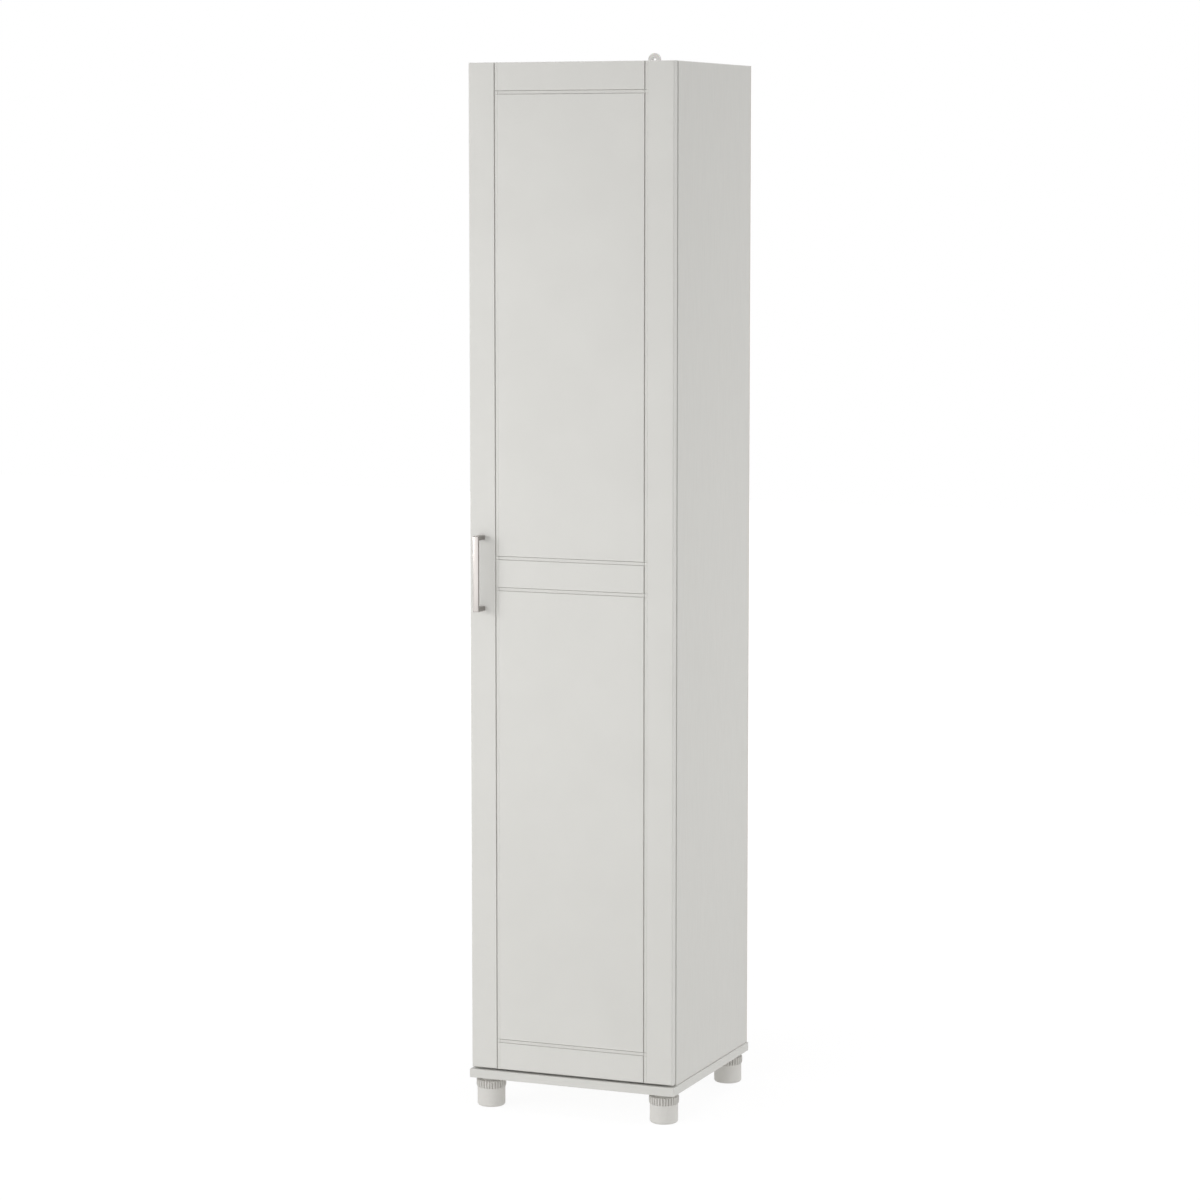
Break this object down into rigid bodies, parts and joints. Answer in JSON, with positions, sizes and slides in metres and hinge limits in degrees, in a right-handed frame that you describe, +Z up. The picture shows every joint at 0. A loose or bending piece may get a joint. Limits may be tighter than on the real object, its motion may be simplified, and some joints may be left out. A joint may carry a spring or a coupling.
{
  "type": "broom cupboard",
  "caption": "Tall narrow broom cupboard with one grooved overlay door, a bar handle, shelves over a broom bay and screw feet.",
  "frame": {"origin": "on the floor, under the middle of the cupboard's bounding box, with the feet fully screwed in", "axes": "+Z up, +Y to the back, so the door faces -Y, and +X to the right of someone facing the door"},
  "size_m": [0.3986, 0.418, 1.914],
  "materials": {
    "board_laminate": "satin melamine laminate",
    "door_laminate": "satin moulded laminate",
    "thin_board": "printed thin fibreboard",
    "satin_nickel": "satin nickel",
    "nickel_plated_steel": "nickel plated",
    "zinc_plated_steel": "zinc plated",
    "cast_zinc": "die cast",
    "beech": "fluted, raw",
    "foot_plastic": "moulded, fine texture",
    "bracket_plastic": "moulded",
    "soft_bumper": "clear soft polymer"
  },
  "bodies": {
    "root": {"back_panel": "thin_board", "back_panel_nails": "zinc_plated_steel", "base_board": "board_laminate", "cam_dowels": "zinc_plated_steel", "cam_locks": "cast_zinc", "door_bumpers": "soft_bumper", "fixed_shelf": "board_laminate", "hinge_arm_1": "nickel_plated_steel", "hinge_arm_2": "nickel_plated_steel", "hinge_arm_3": "nickel_plated_steel", "hinge_arm_4": "nickel_plated_steel", "hinge_clamp_screws": "zinc_plated_steel", "hinge_plate_1": "nickel_plated_steel", "hinge_plate_2": "nickel_plated_steel", "hinge_plate_3": "nickel_plated_steel", "hinge_plate_4": "nickel_plated_steel", "hinge_plate_screws": "zinc_plated_steel", "left_side_panel": "board_laminate", "right_side_panel": "board_laminate", "shelf_pins": "nickel_plated_steel", "tee_nuts": "zinc_plated_steel", "top_panel": "board_laminate", "wall_bracket": "bracket_plastic", "wall_bracket_screws": "zinc_plated_steel", "wood_dowels": "beech"},
    "door": {"door_panel": "door_laminate", "handle": "satin_nickel", "handle_screws": "zinc_plated_steel", "hinge_pins": "nickel_plated_steel", "hinge_cup_screws": "zinc_plated_steel", "hinge_cup_1": "nickel_plated_steel", "hinge_cup_2": "nickel_plated_steel", "hinge_cup_3": "nickel_plated_steel", "hinge_cup_4": "nickel_plated_steel"},
    "shelf": {"adjustable_shelf": "board_laminate"},
    "stud_front_left": {"foot_stud_front_left": "zinc_plated_steel"},
    "foot_front_left": {"foot_front_left": "foot_plastic"},
    "stud_front_right": {"foot_stud_front_right": "zinc_plated_steel"},
    "foot_front_right": {"foot_front_right": "foot_plastic"},
    "stud_rear_left": {"foot_stud_rear_left": "zinc_plated_steel"},
    "foot_rear_left": {"foot_rear_left": "foot_plastic"},
    "stud_rear_right": {"foot_stud_rear_right": "zinc_plated_steel"},
    "foot_rear_right": {"foot_rear_right": "foot_plastic"}
  },
  "joints": [
    {"name": "door_hinge", "type": "hinge", "parent": "root", "child": "door", "pos_m": [0.1893, -0.17215, 0.981], "axis": [0, 0, 1], "range_deg": [0, 95]},
    {"name": "shelf_lift", "type": "slide", "parent": "root", "child": "shelf", "axis": [0, 0, 1], "range_m": [0, 0.12]},
    {"name": "foot_front_left_screw", "type": "slide", "parent": "root", "child": "stud_front_left", "axis": [0, 0, 1], "range_m": [-0.008, 0]},
    {"name": "foot_front_left_turn", "type": "hinge", "parent": "stud_front_left", "child": "foot_front_left", "pos_m": [-0.1693, -0.15145, 0], "axis": [0, 0, 1], "range_deg": [-2300, 0]},
    {"name": "foot_front_right_screw", "type": "slide", "parent": "root", "child": "stud_front_right", "axis": [0, 0, 1], "range_m": [-0.008, 0]},
    {"name": "foot_front_right_turn", "type": "hinge", "parent": "stud_front_right", "child": "foot_front_right", "pos_m": [0.1693, -0.15145, 0], "axis": [0, 0, 1], "range_deg": [-2300, 0]},
    {"name": "foot_rear_left_screw", "type": "slide", "parent": "root", "child": "stud_rear_left", "axis": [0, 0, 1], "range_m": [-0.008, 0]},
    {"name": "foot_rear_left_turn", "type": "hinge", "parent": "stud_rear_left", "child": "foot_rear_left", "pos_m": [-0.1693, 0.17905, 0], "axis": [0, 0, 1], "range_deg": [-2300, 0]},
    {"name": "foot_rear_right_screw", "type": "slide", "parent": "root", "child": "stud_rear_right", "axis": [0, 0, 1], "range_m": [-0.008, 0]},
    {"name": "foot_rear_right_turn", "type": "hinge", "parent": "stud_rear_right", "child": "foot_rear_right", "pos_m": [0.1693, 0.17905, 0], "axis": [0, 0, 1], "range_deg": [-2300, 0]}
  ],
  "couplings": [
    {"joint": "foot_front_left_screw", "follows": "foot_front_left_turn", "m_per_rad": 0.00019894},
    {"joint": "foot_front_right_screw", "follows": "foot_front_right_turn", "m_per_rad": 0.00019894},
    {"joint": "foot_rear_left_screw", "follows": "foot_rear_left_turn", "m_per_rad": 0.00019894},
    {"joint": "foot_rear_right_screw", "follows": "foot_rear_right_turn", "m_per_rad": 0.00019894}
  ]
}
